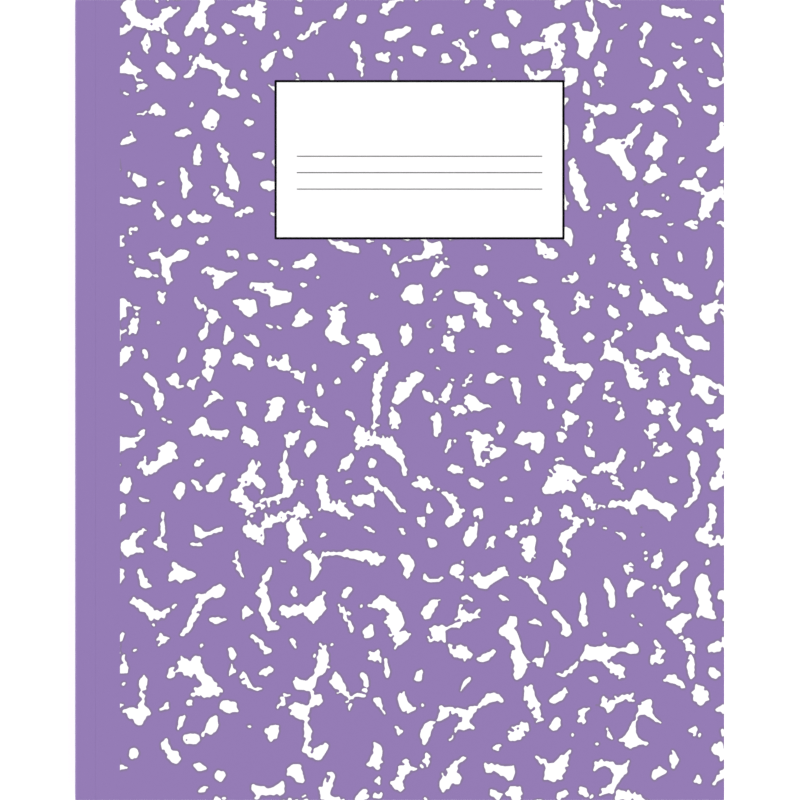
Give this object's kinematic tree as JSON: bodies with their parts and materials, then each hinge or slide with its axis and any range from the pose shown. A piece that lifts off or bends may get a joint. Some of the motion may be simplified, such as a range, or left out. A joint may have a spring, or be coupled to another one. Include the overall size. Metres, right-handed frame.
{
  "type": "composition notebook",
  "caption": "Softcover notebook lying closed: a flat block of ruled leaves glued at the spine into a folded card cover, whose front and back covers swing open at their hinge scores.",
  "frame": {"origin": "middle of the back cover's outer face, in the plane the closed notebook rests on", "axes": "+X from the spine to the fore-edge, +Y from the tail to the head of the pages, +Z from the back cover to the front cover"},
  "size_m": [0.1906, 0.235, 0.0062],
  "materials": {
    "cover_card": "white card printed purple with a white marbled pattern and a white label outlined in black, under a satin film; the inside is bare white card",
    "paper": "matt white uncoated paper, ruled on its first and last side",
    "glue": "cloudy cream hot-melt glue"
  },
  "bodies": {
    "book_block": {"page_block": "paper", "spine_glue": "glue", "front_side_glue": "glue", "back_side_glue": "glue", "cover_spine": "cover_card"},
    "front_cover": {"front_cover": "cover_card"},
    "back_cover": {"back_cover": "cover_card"}
  },
  "joints": [
    {"name": "front_cover_hinge", "type": "hinge", "parent": "book_block", "child": "front_cover", "pos_m": [-0.08925, 0, 0.00622], "axis": [0, -1, 0], "range_deg": [0, 180]},
    {"name": "back_cover_hinge", "type": "hinge", "parent": "book_block", "child": "back_cover", "pos_m": [-0.08925, 0, 0], "axis": [0, 1, 0], "range_deg": [0, 180]}
  ]
}
